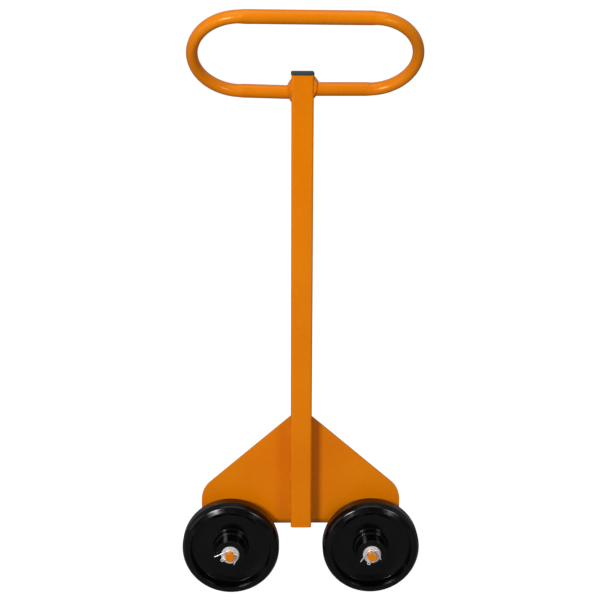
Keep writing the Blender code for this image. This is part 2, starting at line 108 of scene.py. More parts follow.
def makeWorld():
    world = bpy.data.worlds.new("studioWorld")
    world.use_nodes = True
    nodes, links = world.node_tree.nodes, world.node_tree.links
    back = nodes["Background"]
    back.inputs["Color"].default_value = (*studio["worldColour"], 1)
    direction = nodes.new("ShaderNodeSeparateXYZ")
    ramp = nodes.new("ShaderNodeMapRange")
    fade = studio["worldFade"]
    for key, value in zip(
        ("From Min", "From Max", "To Min", "To Max"),
        (fade[0], fade[1], studio["worldBeside"], studio["worldBehind"]),
    ):
        ramp.inputs[key].default_value = value
    links.new(nodes.new("ShaderNodeTexCoord").outputs["Generated"], direction.inputs[0])
    links.new(direction.outputs["Y"], ramp.inputs["Value"])
    links.new(ramp.outputs["Result"], back.inputs["Strength"])
    bpy.context.scene.world = world
    bpy.context.scene.view_settings.view_transform = "Standard"


# materials: small helpers that add one node each and return its output
def addNode(material, kind, **settings):
    node = material.node_tree.nodes.new(kind)
    for key, value in settings.items():
        setattr(node, key, value)
    return node


def feed(material, socket, value):
    if isinstance(value, bpy.types.NodeSocket):
        material.node_tree.links.new(value, socket)
    elif isinstance(value, tuple) and len(value) == 3 and len(socket.default_value) == 4:
        socket.default_value = (*value, 1)
    else:
        socket.default_value = value


def objectPoints(material, centre=(0, 0, 0), scale=(1, 1, 1)):
    coords = addNode(material, "ShaderNodeTexCoord")
    mapping = addNode(material, "ShaderNodeMapping")
    mapping.inputs["Location"].default_value = tuple(-c * s for c, s in zip(centre, scale))
    mapping.inputs["Scale"].default_value = scale
    material.node_tree.links.new(coords.outputs["Object"], mapping.inputs["Vector"])
    return mapping.outputs["Vector"]


def noise(material, points, scale, detail=3.0, roughness=0.5):
    node = addNode(material, "ShaderNodeTexNoise")
    feed(material, node.inputs["Vector"], points)
    feed(material, node.inputs["Scale"], scale)
    feed(material, node.inputs["Detail"], detail)
    feed(material, node.inputs["Roughness"], roughness)
    return node.outputs["Fac"]


def remap(material, factor, low, high, lowTo=0.0, highTo=1.0):
    # straight line between two pairs, held at its ends
    node = addNode(material, "ShaderNodeMapRange")
    feed(material, node.inputs["Value"], factor)
    for key, value in (("From Min", low), ("From Max", high), ("To Min", lowTo), ("To Max", highTo)):
        feed(material, node.inputs[key], value)
    return node.outputs["Result"]


def blendColours(material, factor, first, second):
    node = addNode(material, "ShaderNodeMix", data_type="RGBA")
    feed(material, node.inputs[0], factor)
    feed(material, node.inputs[6], first)
    feed(material, node.inputs[7], second)
    return node.outputs[2]


def combine(material, operation, first, second):
    node = addNode(material, "ShaderNodeMath", operation=operation)
    feed(material, node.inputs[0], first)
    feed(material, node.inputs[1], second)
    return node.outputs[0]


def relief(material, height, depth, strength, under=None):
    node = addNode(material, "ShaderNodeBump")
    feed(material, node.inputs["Strength"], strength)
    feed(material, node.inputs["Distance"], depth)
    feed(material, node.inputs["Height"], height)
    if under:
        feed(material, node.inputs["Normal"], under)
    return node.outputs["Normal"]


def axleDistance(material, centre):
    # distance from a wheel's axle line: length of the point with its Y dropped
    flat = addNode(material, "ShaderNodeVectorMath", operation="LENGTH")
    feed(material, flat.inputs[0], objectPoints(material, centre, (1, 0, 1)))
    return flat.outputs["Value"]


def newFinish(name, **sockets):
    material = bpy.data.materials.new(name)
    material.use_nodes = True
    shader = material.node_tree.nodes["Principled BSDF"]
    for key, value in sockets.items():
        shader.inputs[key.replace("_", " ")].default_value = value
    return material, shader


def wire(material, shader, colour, rough, normal):
    feed(material, shader.inputs["Base Color"], colour)
    feed(material, shader.inputs["Roughness"], rough)
    feed(material, shader.inputs["Normal"], normal)
    return material


orangePaint = {
    "colour": (0.80, 0.215, 0.0),
    "deepColour": (0.75, 0.185, 0.0),
    "speckColour": (0.58, 0.12, 0.0),
    "sheenTint": (1.0, 0.84, 0.42),
    "cloudScale": 5.0,
    "speckScale": 1400.0,
    "peelScale": 330.0,
    "peelDepth": 0.0003,
    "lumpScale": 240.0,
    "chipScale": 520.0,
    "chipRoughness": 0.38,
    "roughScale": 60.0,
    "roughness": (0.20, 0.30),
}


def makeOrangePaint(name, lumpDepth=0.0, chips=None):  # powder coat: cloudy colour, fine specks, orange peel
    look = orangePaint
    material, shader = newFinish(name, Specular_IOR_Level=0.42, Specular_Tint=(*look["sheenTint"], 1))
    points = objectPoints(material)
    cloud = remap(material, noise(material, points, look["cloudScale"], 2.0), 0.35, 0.65)
    colour = blendColours(material, cloud, look["deepColour"], look["colour"])
    specks = remap(material, noise(material, points, look["speckScale"], 1.0), 0.66, 0.80, 0.0, 0.5)
    colour = blendColours(material, specks, colour, look["speckColour"])
    rough = remap(material, noise(material, points, look["roughScale"], 4.0), 0.3, 0.7, *look["roughness"])
    normal = relief(material, noise(material, points, look["peelScale"], 2.0, 0.45), look["peelDepth"], 0.20)
    if lumpDepth:
        normal = relief(material, noise(material, points, look["lumpScale"], 3.0), lumpDepth, 0.6, normal)
    if chips:  # bare steel where noise and nearness to the given point agree
        near = addNode(material, "ShaderNodeVectorMath", operation="LENGTH")
        feed(material, near.inputs[0], objectPoints(material, chips["centre"]))
        reach = remap(material, near.outputs["Value"], chips["radius"] * 0.3, chips["radius"], 0.30, -0.25)
        bare = combine(material, "ADD", noise(material, points, look["chipScale"], 4.0, 0.65), reach)
        bare = remap(material, bare, 0.56, 0.60)
        colour = blendColours(material, bare, colour, chips["steelColour"])
        bareRough = combine(material, "MULTIPLY", bare, look["chipRoughness"])
        rough = combine(material, "MAXIMUM", rough, bareRough)
        feed(material, shader.inputs["Metallic"], bare)
        normal = relief(material, combine(material, "SUBTRACT", 1.0, bare), 0.0002, 0.5, normal)
    return wire(material, shader, colour, rough, normal)


wheelPlastic = {
    "colour": (0.0012, 0.0012, 0.0014),
    "dustColour": (0.0050, 0.0047, 0.0043),
    "roughness": (0.12, 0.20),
    "roughScale": 75.0,
    "hazeScale": 38.0,
    "scuffScale": 150.0,
    "scuffs": (0.05, 0.13),
    "treadStart": (0.0995, 0.1014),  # distances from the axle between which the scuffs set in
    "ringSpacing": 0.0011,
    "ringDepth": 0.000004,
    "waveScale": 90.0,
}


def makeWheelPlastic(name, centre):  # polished moulding with faint turning rings and a scuffed tread
    look = wheelPlastic
    material, shader = newFinish(name, Specular_IOR_Level=0.32)
    points = objectPoints(material)
    away = axleDistance(material, centre)
    tread = remap(material, away, *look["treadStart"])
    haze = remap(material, noise(material, points, look["hazeScale"], 5.0, 0.6), 0.45, 0.75)
    haze = combine(material, "MULTIPLY", haze, 0.35)
    colour = blendColours(material, haze, look["colour"], look["dustColour"])
    rough = remap(material, noise(material, points, look["roughScale"], 4.0), 0.3, 0.7, *look["roughness"])
    scuff = remap(material, noise(material, points, look["scuffScale"], 4.0), 0.3, 0.7, *look["scuffs"])
    rough = combine(material, "ADD", rough, combine(material, "MULTIPLY", tread, scuff))
    turns = combine(material, "MULTIPLY", away, math.tau / look["ringSpacing"])
    turns = combine(material, "SINE", turns, 0.0)
    normal = relief(material, turns, look["ringDepth"], 0.35)
    normal = relief(material, noise(material, points, look["waveScale"], 3.0), 0.0004, 0.10, normal)
    return wire(material, shader, colour, rough, normal)


capPlastic = {
    "colour": (0.016, 0.017, 0.019),
    "paleColour": (0.034, 0.036, 0.040),
    "mottleScale": 120.0,
    "roughScale": 300.0,
    "roughness": (0.36, 0.52),
    "grainScale": 1500.0,
}


def makeCapPlastic(name):  # moulded polyethylene with a fine spark-eroded grain
    look = capPlastic
    material, shader = newFinish(name, Specular_IOR_Level=0.45)
    points = objectPoints(material)
    mottle = noise(material, points, look["mottleScale"], 4.0)
    colour = blendColours(material, mottle, look["colour"], look["paleColour"])
    rough = remap(material, noise(material, points, look["roughScale"], 3.0), 0.3, 0.7, *look["roughness"])
    normal = relief(material, noise(material, points, look["grainScale"], 2.0), 0.0002, 0.35)
    return wire(material, shader, colour, rough, normal)


zincPlate = {
    "colour": (0.97, 0.97, 0.96),
    "dullColour": (0.80, 0.80, 0.81),
    "cloudScale": 210.0,
    "roughScale": 480.0,
    "roughness": (0.22, 0.42),
    "scratchScale": (300, 2600, 300),
    "scratchDepth": 0.00012,
}


def makeZincPlate(name):  # bright plating with cloudy dullness and fine scratches
    look = zincPlate
    material, shader = newFinish(name, Metallic=0.6)
    points = objectPoints(material)
    cloud = remap(material, noise(material, points, look["cloudScale"], 4.0, 0.6), 0.35, 0.7)
    colour = blendColours(material, cloud, look["colour"], look["dullColour"])
    rough = remap(material, noise(material, points, look["roughScale"], 3.0), 0.3, 0.7, *look["roughness"])
    scratches = noise(material, objectPoints(material, scale=look["scratchScale"]), 1.0, 3.0)
    normal = relief(material, scratches, look["scratchDepth"], 0.35)
    return wire(material, shader, colour, rough, normal)


bearingSteel = {
    "colour": (0.60, 0.60, 0.62),
    "oilColour": (0.38, 0.36, 0.33),
    "filmScale": 160.0,
    "roughScale": 300.0,
    "roughness": (0.12, 0.25),
    "grindScale": (900, 60, 900),
}


def makeBearingSteel(name):  # ground steel under a thin film of oil
    look = bearingSteel
    material, shader = newFinish(name, Metallic=0.6)
    points = objectPoints(material)
    film = remap(material, noise(material, points, look["filmScale"], 3.0), 0.4, 0.7)
    colour = blendColours(material, film, look["colour"], look["oilColour"])
    rough = remap(material, noise(material, points, look["roughScale"], 2.0), 0.3, 0.7, *look["roughness"])
    grind = noise(material, objectPoints(material, scale=look["grindScale"]), 1.0, 2.0)
    normal = relief(material, grind, 0.00005, 0.3)
    return wire(material, shader, colour, rough, normal)


floorPaint = {
    "colour": (0.26, 0.26, 0.26),
    "paleColour": (0.28, 0.28, 0.28),
    "cloudScale": 1.5,
    "roughScale": 20.0,
    "roughness": (0.75, 0.90),
    "grainScale": 300.0,
}


def makeFloorFinish(name):  # pale painted board, lit from within so that it stays even to its far edge
    look = floorPaint
    material, shader = newFinish(name, Specular_IOR_Level=0.1, Emission_Strength=studio["floorGlow"])
    points = objectPoints(material)
    cloud = noise(material, points, look["cloudScale"], 3.0)
    colour = blendColours(material, cloud, look["colour"], look["paleColour"])
    rough = remap(material, noise(material, points, look["roughScale"], 3.0), 0.3, 0.7, *look["roughness"])
    normal = relief(material, noise(material, points, look["grainScale"], 2.0), 0.0002, 0.1)
    return wire(material, shader, colour, rough, normal)


# meshes: a grid of points becomes a skin, doubled points close its seams and poles
def skin(name, grid, closeRows=False, closeColumns=True):
    rows, columns = grid.shape[:2]
    i = np.arange(rows if closeRows else rows - 1)[:, None]
    j = np.arange(columns if closeColumns else columns - 1)[None, :]
    nextI = (i + 1) % rows
    nextJ = (j + 1) % columns
    here, below = i * columns, nextI * columns
    quads = np.stack(np.broadcast_arrays(here + j, below + j, below + nextJ, here + nextJ), -1)
    mesh = bpy.data.meshes.new(name)
    mesh.from_pydata(grid.reshape(-1, 3), [], quads.reshape(-1, 4).tolist())
    work = bmesh.new()
    work.from_mesh(mesh)
    bmesh.ops.remove_doubles(work, verts=work.verts, dist=2e-6)
    bmesh.ops.dissolve_degenerate(work, edges=work.edges, dist=1e-7)
    bmesh.ops.recalc_face_normals(work, faces=work.faces)
    work.to_mesh(mesh)
    work.free()
    piece = bpy.data.objects.new(name, mesh)
    bpy.context.scene.collection.objects.link(piece)
    return piece


def settle(piece, body, material, replaced=(), sharp=50, weighted=True):
    piece.data.materials.clear()
    piece.data.materials.append(material)
    piece.data.shade_smooth()
    piece.data.set_sharp_from_angle(angle=math.radians(sharp))
    if weighted:
        even = piece.modifiers.new("evenShading", "WEIGHTED_NORMAL")
        even.keep_sharp = True
    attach(piece, body)
    if replaced:
        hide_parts(*replaced)


def arcAngles(start, end, steps):
    return np.linspace(start, end, steps + 1)


def roundedOutline(half, radius, steps):
    # square of half side "half": four quarter circles of "radius" set in its corners
    radius = min(radius, half)
    turn = arcAngles(0, math.pi / 2, steps)
    quarters = [turn + math.pi / 2 * k for k in range(4)]
    signs = np.array([(1, 1), (-1, 1), (-1, -1), (1, -1)]) * (half - radius)
    arcs = [c + radius * np.column_stack((np.cos(q), np.sin(q))) for c, q in zip(signs, quarters)]
    return np.concatenate(arcs)


def squareGrid(middle, levels, steps=8):  # levels are (half side, corner radius, z), one outline each
    grid = []
    for half, radius, z in levels:
        outline = roundedOutline(half, radius, steps)
        grid.append(np.column_stack((outline + middle, np.full(len(outline), z))))
    return np.array(grid)


def filleted(corners, steps=5):
    # closed section of corners (x, y, fillet): each corner becomes an arc that touches both of its sides
    points = []
    for k, (x, y, fillet) in enumerate(corners):
        here = np.array((x, y))
        before = np.array(corners[k - 1][:2]) - here
        after = np.array(corners[(k + 1) % len(corners)][:2]) - here
        if fillet == 0:
            points.append(here[None])
            continue
        before = before / np.linalg.norm(before)
        after = after / np.linalg.norm(after)
        half = math.acos(np.clip(before @ after, -1, 1)) / 2
        middle = here + (before + after) / np.linalg.norm(before + after) * fillet / math.sin(half)
        first = here + before * fillet / math.tan(half) - middle
        last = here + after * fillet / math.tan(half) - middle
        sweep = math.atan2(first[0] * last[1] - first[1] * last[0], first @ last)
        turn = arcAngles(0, sweep, steps)
        sideways = np.array((-first[1], first[0]))
        points.append(middle + np.cos(turn)[:, None] * first + np.sin(turn)[:, None] * sideways)
    return np.concatenate(points)


def turnedGrid(section, centre, steps):
    # section (radius r, forward f) turned round the axle: x = cx + r cos a, z = cz + r sin a, y = front - f
    angle = np.linspace(0, math.tau, steps, endpoint=False)[:, None]
    r = section[None, :, 0]
    y = np.broadcast_to(plateFront - section[None, :, 1], (steps, len(section)))
    return np.stack((centre[0] + r * np.cos(angle), y, centre[1] + r * np.sin(angle)), -1)


def tubeGrid(path, across, over, acrossRadius, overRadius, sides):
    # ellipse carried along a path: point p + across a cos t + over b sin t
    angle = np.linspace(0, math.tau, sides, endpoint=False)[None, :, None]
    ring = across[:, None, :] * (acrossRadius[:, None, None] * np.cos(angle))
    return path[:, None, :] + ring + over[:, None, :] * (overRadius[:, None, None] * np.sin(angle))


def closeEnds(grid):  # adds a row at either end in which every point is the ring's middle
    first = np.broadcast_to(grid[0].mean(0), grid[0].shape)
    last = np.broadcast_to(grid[-1].mean(0), grid[-1].shape)
    return np.concatenate((first[None], grid, last[None]))


makeCamera()
makeWorld()
for lampName, lampFacts in lamps.items():
    makeLamp(lampName, lampFacts)
paint = makeOrangePaint("orangePaint")
weldPaint = makeOrangePaint("weldPaint", 0.0009)
zinc = makeZincPlate("zincPlate")
print("studio and paints ready")


# floor
floorMesh = bpy.data.meshes.new("studioFloor")
halfFloor = studio["floorSize"] / 2
floorCorners = [(halfFloor * x, halfFloor * y, 0) for x, y in ((-1, -1), (1, -1), (1, 1), (-1, 1))]
floorMesh.from_pydata(floorCorners, [], [(0, 1, 2, 3)])
floor = bpy.data.objects.new("studioFloor", floorMesh)
floorMesh.materials.append(makeFloorFinish("studioFloor"))
bpy.context.scene.collection.objects.link(floor)


def keepGlowOffDolly(pieces):  # the floor's own glow is for its looks and doesn't light the dolly from below
    shaded = bpy.data.collections.new("shadedPieces")
    for piece in pieces:
        shaded.objects.link(piece)
    floor.light_linking.receiver_collection = shaded
    for entry in shaded.collection_objects:
        entry.light_linking.link_state = "EXCLUDE"


# post: square tube with a sawn, slightly eased edge at either end
post = {"wall": 0.003, "corner": 0.0045, "easedEdge": 0.0005}
postLow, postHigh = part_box("post_tube")
postHalf = (postHigh.x - postLow.x) / 2
postMiddle = np.array((0.0, (postHigh.y + postLow.y) / 2))


def makePost():
    edge = post["easedEdge"]
    foot = []
    for angle in arcAngles(0, math.pi / 2, 3):
        inset = edge * (1 - math.sin(angle))
        foot.append((postHalf - inset, post["corner"] - inset, postLow.z + edge * (1 - math.cos(angle))))
    levels = foot + [(h, r, postLow.z + postHigh.z - z) for h, r, z in reversed(foot)]
    innerHalf = postHalf - post["wall"]
    innerRadius = post["corner"] - post["wall"]
    levels += [(innerHalf, innerRadius, postHigh.z), (innerHalf, innerRadius, postLow.z)]
    piece = skin("post", squareGrid(postMiddle, levels), closeRows=True)
    settle(piece, "frame", paint, ["post_tube"])


cap = {
    "edge": 0.0026,
    "lowEdge": 0.0008,
    "dome": 0.0004,
    "corner": 0.0048,
    "plugCorner": 0.002,
    "plugGap": 0.0008,
    "plugLead": (0.002, 0.003),  # how far the plug's foot tapers in, and over what height
    "seatGap": 0.0003,
}


def makePostCap():
    low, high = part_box("post_top_cap")
    half = (high.x - low.x) / 2
    plugHalf = postHalf - post["wall"] - cap["plugGap"]
    plugCorner = cap["plugCorner"]
    taper, lead = cap["plugLead"]
    flangeLow = postHigh.z + cap["seatGap"]
    top = high.z - cap["dome"]
    levels = [(0.0, 0.001, low.z), (plugHalf - taper, plugCorner, low.z)]
    levels += [(plugHalf, plugCorner, low.z + lead), (plugHalf, plugCorner, flangeLow)]
    for angle in arcAngles(-math.pi / 2, 0, 4):
        inset = cap["lowEdge"] * (1 - math.cos(angle))
        height = flangeLow + cap["lowEdge"] * (1 + math.sin(angle))
        levels.append((half - inset, cap["corner"] - inset, height))
    for angle in arcAngles(0, math.pi / 2, 8):
        inset = cap["edge"] * (1 - math.cos(angle))
        height = top - cap["edge"] * (1 - math.sin(angle))
        levels.append((half - inset, cap["corner"] - inset * 0.6, height))
    flat = half - cap["edge"]
    for share in (0.85, 0.6, 0.3, 0.0):
        levels.append((flat * share, flat * share * 0.15 + 0.001, top + cap["dome"] * (1 - share * share)))
    piece = skin("postCap", squareGrid(postMiddle, levels))
    settle(piece, "frame", makeCapPlastic("capPlastic"), ["post_top_cap"])


makePost()
makePostCap()
print("post and cap done")


# handle: bent tube in a plane that leans towards the operator, flattened where it bends
handle = {
    "lean": math.radians(40.0),
    "barHeight": 1.0496,
    "tubeRadius": 0.01322,
    "leftBend": (-0.1162, 0.0928, 0.0925),
    "rightBend": (0.1273, 0.0942, 0.0887),
    "leftEndRise": -0.0034,
    "rightEndRise": 0.0052,
    "flattening": 0.17,
    "bulging": 0.06,
    "easeLength": 0.016,
    "bendSteps": 140,
    "spacing": 0.0025,
    "sides": 40,
}
handleOrigin = np.array((0.0, postMiddle[1], handle["barHeight"]))
alongX = np.array((1.0, 0.0, 0.0))
upLean = np.array((0.0, -math.sin(handle["lean"]), math.cos(handle["lean"])))
outOfLoop = np.cross(alongX, upLean)


def tangentAngle(bend, end):  # where the straight bar from the post touches the bend's lower side
    reach = np.array(end) - np.array(bend[:2])
    towards = math.atan2(reach[1], reach[0])
    half = math.acos(bend[2] / np.linalg.norm(reach))
    return min((towards - half, towards + half), key=math.sin)


def handleLine():  # the centreline in its own plane, with how much each point is bent
    lx, ly, lr = handle["leftBend"]
    rx, ry, rr = handle["rightBend"]
    ends = ((-postHalf, handle["leftEndRise"]), (postHalf, handle["rightEndRise"]))
    top = math.atan2(ry - ly, rx - lx) + math.acos((lr - rr) / math.hypot(rx - lx, ry - ly))
    start = tangentAngle(handle["leftBend"], ends[0]) % math.tau
    stop = (tangentAngle(handle["rightBend"], ends[1]) + math.pi) % math.tau - math.pi
    leftTurn = arcAngles(start, top, handle["bendSteps"])
    rightTurn = arcAngles(top, stop, handle["bendSteps"])
    left = np.column_stack((lx + lr * np.cos(leftTurn), ly + lr * np.sin(leftTurn)))
    right = np.column_stack((rx + rr * np.cos(rightTurn), ry + rr * np.sin(rightTurn)))
    line = np.concatenate((np.array(ends[:1]), left, right, np.array(ends[1:])))
    bent = np.concatenate(([0], np.ones(len(left)), np.ones(len(right)), [0]))
    gap = np.concatenate(([0], np.cumsum(np.linalg.norm(np.diff(line, axis=0), axis=1))))
    even = np.linspace(0, gap[-1], int(gap[-1] / handle["spacing"]))
    flat = np.column_stack((np.interp(even, gap, line[:, 0]), np.interp(even, gap, line[:, 1])))
    # a point is bent when it lies between two points of the same arc
    index = np.searchsorted(gap, even, side="right").clip(1, len(gap) - 1)
    sameArc = (index > 1) & (index < len(gap) - 1) & (index != len(left) + 1)
    window = max(3, int(handle["easeLength"] / handle["spacing"]) | 1)
    weights = np.hanning(window + 2)[1:-1]
    soft = np.convolve(np.pad(sameArc.astype(float), window // 2, "edge"), weights, "valid")
    return flat, soft / weights.sum()


def makeHandle():
    flat, bent = handleLine()
    slope = np.gradient(flat, axis=0)
    slope /= np.linalg.norm(slope, axis=1)[:, None]
    path = handleOrigin + flat[:, :1] * alongX + flat[:, 1:] * upLean
    across = -slope[:, 1:] * alongX + slope[:, :1] * upLean
    over = np.broadcast_to(outOfLoop, path.shape)
    flattened = handle["tubeRadius"] * (1 - handle["flattening"] * bent)
    bulged = handle["tubeRadius"] * (1 + handle["bulging"] * bent)
    grid = tubeGrid(path, across, over, flattened, bulged, handle["sides"])
    piece = skin("handleLoop", closeEnds(grid))
    settle(piece, "frame", paint, ["handle_loop"], weighted=False)


# welds where the handle meets the post: a lumpy cone round the tube, widest above it
handleWelds = {
    "left": {
        "sign": -1,
        "rise": handle["leftEndRise"],
        "legs": (0.0060, 0.0130),  # out from the tube, below and above it
        "reach": (0.0050, 0.0085),  # along the tube, below and above it
        "seed": 3,
        "lumps": 0.07,
    },
    "right": {
        "sign": 1,
        "rise": handle["rightEndRise"],
        "legs": (0.0055, 0.0125),
        "reach": (0.0050, 0.0095),
        "seed": 8,
        "lumps": 0.13,
    },
}
weldShape = {
    "bury": 0.0012,
    "sink": 0.0003,
    "bulge": 0.62,  # exponent of the face's curve: 1 is flat, 0.5 is a quarter circle
    "waves": (3, 5, 9, 14),
    "steps": 72,
}


def makeHandleWeld(side, facts):
    # fillet section (out from the tube, along the tube) carried round the tube, with seeded lumps
    random = np.random.default_rng(facts["seed"])
    angle = np.linspace(0, math.tau, weldShape["steps"], endpoint=False)
    upward = (1 + np.sin(angle)) / 2
    upward = upward * upward * (3 - 2 * upward)
    lumps = np.ones_like(angle)
    for wave in weldShape["waves"]:
        lumps += facts["lumps"] / math.sqrt(wave) * np.sin(wave * angle + random.uniform(0, math.tau))
    (downLeg, upLeg), (lowReach, topReach) = facts["legs"], facts["reach"]
    out = (downLeg + (upLeg - downLeg) * upward) * lumps
    along = (lowReach + (topReach - lowReach) * upward) * lumps[::-1]
    bury, sink, bulge = weldShape["bury"], weldShape["sink"], weldShape["bulge"]
    turn = arcAngles(0, math.pi / 2, 7)
    outShare = np.concatenate(([0.0], np.cos(turn) ** (1 / bulge)))
    alongShare = np.concatenate(([0.0], np.sin(turn) ** (1 / bulge)))
    radius = handle["tubeRadius"] - bury + np.outer(out + bury, outShare)
    reach = -sink + np.outer(along + sink, alongShare)
    radius[:, 0] = handle["tubeRadius"] - 2 * bury
    centre = handleOrigin + facts["rise"] * upLean
    x = facts["sign"] * (postHalf + reach)
    y = centre[1] - radius * np.cos(angle)[:, None]
    z = centre[2] + radius * np.sin(angle)[:, None]
    y = np.maximum(y, postLow.y + 0.001)
    piece = skin("handleWeld_" + side, np.stack((x, y, z), -1), closeRows=True)
    settle(piece, "frame", weldPaint, sharp=80, weighted=False)


makeHandle()
for sideName, weldFacts in handleWelds.items():
    makeHandleWeld(sideName, weldFacts)
print("handle done")


# folded sheets: the toe plate and the axle brackets
def foldedSheet(path, inward, halfWidth, thickness, edge, columns):
    # each row is a flat slot across X: the outer face, a rounded edge, the inner face, a rounded edge
    rows = []
    quarter = arcAngles(0, math.pi / 2, 4)
    late, early = quarter[1:], quarter[:-1]
    for centre, normal, half, thin in zip(path, inward, halfWidth[:, 0], halfWidth[:, 1]):
        e = min(edge, half * 0.45, thin / 2 * 0.9)
        low = (thickness - thin) / 2
        inner = max(half - e, 0.0)
        face = np.linspace(-inner, inner, columns)
        high = low + thin
        there = (face, inner + e * np.sin(late), inner + e * np.cos(quarter))
        andBack = (face[::-1][1:], -inner - e * np.sin(late), -inner - e * np.cos(early))
        x = np.concatenate(there + andBack)
        near = (np.full(columns, low), low + e * (1 - np.cos(late)), high - e * (1 - np.sin(quarter)))
        far = (np.full(columns - 1, high), high - e * (1 - np.cos(late)), low + e * (1 - np.sin(early)))
        depth = np.concatenate(near + far)
        rows.append(np.column_stack((x, centre[0] + normal[0] * depth, centre[1] + normal[1] * depth)))
    return np.array(rows)


def easedEnd(point, direction, normal, half, thickness, edge, steps=4):  # rows that round off a sheet's end
    rows = []
    for angle in arcAngles(0, math.pi / 2, steps):
        inset = edge * (1 - math.cos(angle))
        ahead = edge * math.sin(angle)
        rows.append((point + direction * ahead, normal, half - inset, thickness - 2 * inset))
    rows.append((point + direction * edge, normal, half - edge - thickness * 0.4, 1e-7))
    return rows


def stackRows(rows):
    path = np.array([r[0] for r in rows])
    inward = np.array([r[1] for r in rows])
    return path, inward, np.array([(r[2], r[3]) for r in rows])


toePlate = {
    "thickness": 0.00635,
    "halfWidth": 0.2100,
    "apexCorner": (0.3956, 0.040),
    "shoulderCorner": (0.2143, 0.053),
    "bendRadius": 0.019,
    "toeCorner": 0.025,
    "edge": 0.0008,
    "columns": 30,
}


def plateEdge():  # right-hand edge of the upright from the apex down: (half width, z)
    wide = toePlate["halfWidth"]
    apexZ, apexRadius = toePlate["apexCorner"]
    shoulderZ, shoulderRadius = toePlate["shoulderCorner"]
    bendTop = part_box("toe_plate")[0].z + toePlate["bendRadius"]
    upper = [(-wide, shoulderZ, shoulderRadius), (0.0, apexZ, apexRadius), (wide, shoulderZ, shoulderRadius)]
    outline = filleted(upper + [(wide, bendTop, 0), (-wide, bendTop, 0)], 16)
    right = outline[outline[:, 0] > 1e-6]
    right = right[np.argsort(-right[:, 1], kind="stable")]
    top = outline[:, 1].max()
    return np.concatenate(([(0.0, top)], right))


def makeToePlate():
    thick = toePlate["thickness"]
    bend = toePlate["bendRadius"]
    low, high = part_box("toe_plate")
    rows = []
    inward = np.array((1.0, 0.0))
    for half, z in plateEdge():
        rows.append((np.array((plateFront, z)), inward, half, thick))
    middle = np.array((plateFront + bend, low.z + bend))
    for angle in arcAngles(math.pi, math.pi * 1.5, 14)[1:]:
        outward = np.array((math.cos(angle), math.sin(angle)))
        rows.append((middle + bend * outward, -outward, toePlate["halfWidth"], thick))
    r = toePlate["toeCorner"]
    up = np.array((0.0, 1.0))
    for angle in arcAngles(0, math.radians(80), 9):
        half = toePlate["halfWidth"] - r + r * math.cos(angle)
        rows.append((np.array((high.y - r + r * math.sin(angle), low.z)), up, half, thick))
    edge = toePlate["edge"]
    half = toePlate["halfWidth"] - r
    rows += easedEnd(np.array((high.y - edge, low.z)), np.array((1.0, 0.0)), up, half, thick, edge)
    piece = skin("toePlate", foldedSheet(*stackRows(rows), thick, edge, toePlate["columns"]))
    settle(piece, "frame", paint, ["toe_plate"])


# stitch welds down both sides of the post
stitches = {
    "runs": [  # middle height, length, leg
        (0.340, 0.014, 0.0034),
        (0.2435, 0.018, 0.0038),
        (0.168, 0.026, 0.0040),
    ],
    "rippleLength": 0.0026,
    "firstSeed": 21,
}
bead = {
    "bury": 0.0008,
    "ripple": 0.10,
    "wander": (0.05, 2.7),  # share of the leg, and waves along the bead
    "crater": (0.35, 0.93, 0.04),  # depth as a share of the leg, place and width along the bead
    "steps": 61,
}


def beadGrid(start, end, outA, outB, leg, seed, ripples):
    # a weld bead in the corner between two faces: legs grow from nothing, ripple, and end in a small crater
    random = np.random.default_rng(seed)
    t = np.linspace(0, 1, bead["steps"])
    size = leg * np.clip(1 - np.abs(2 * t - 1) ** 5, 0, 1) ** 0.5
    rippling = bead["ripple"] * np.sin(math.tau * ripples * t + random.uniform(0, 6))
    wander, waves = bead["wander"]
    size = size * (1 + rippling + wander * np.sin(math.tau * waves * t + random.uniform(0, 6)))
    crater, craterAt, craterWidth = bead["crater"]
    size = size * (1 - crater * np.exp(-(((t - craterAt) / craterWidth) ** 2)))
    turn = arcAngles(0, math.pi / 2, 8)
    share = np.stack((np.cos(turn) ** 1.5, np.sin(turn) ** 1.5), -1)
    share = np.concatenate(([(0.0, 0.0)], share))
    bury = bead["bury"] * np.minimum(size / leg, 1)
    line = start + t[:, None] * (end - start)
    a = -bury[:, None] + (size + bury)[:, None] * share[None, :, 0]
    b = -bury[:, None] + (size + bury)[:, None] * share[None, :, 1]
    return line[:, None, :] + a[:, :, None] * outA + b[:, :, None] * outB


def makeStitchWelds():
    seed = stitches["firstSeed"]
    for side, sign in wheelSides.items():
        for run, (height, length, leg) in enumerate(stitches["runs"]):
            corner = np.array((sign * postHalf, plateFront, height))
            half = np.array((0, 0, length / 2))
            aside, ahead = np.array((sign, 0, 0)), np.array((0, -1.0, 0))
            ripples = length / stitches["rippleLength"]
            grid = beadGrid(corner + half, corner - half, aside, ahead, leg, seed, ripples)
            piece = skin(f"stitchWeld_{side}_{run}", grid)
            settle(piece, "frame", weldPaint, sharp=80, weighted=False)
            seed += 1


makeToePlate()
makeStitchWelds()
print("toe plate and stitch welds done")


# axle brackets: inverted channels under the toe
bracket = {
    "sheet": 0.005,
    "bend": 0.0085,
    "corner": 0.018,
    "edge": 0.0006,
    "columns": 12,
    "weldInset": 0.012,
    "weldRise": 0.0003,
    "weldLeg": 0.0042,
    "weldRipples": 20,
    "firstSeed": 40,
}


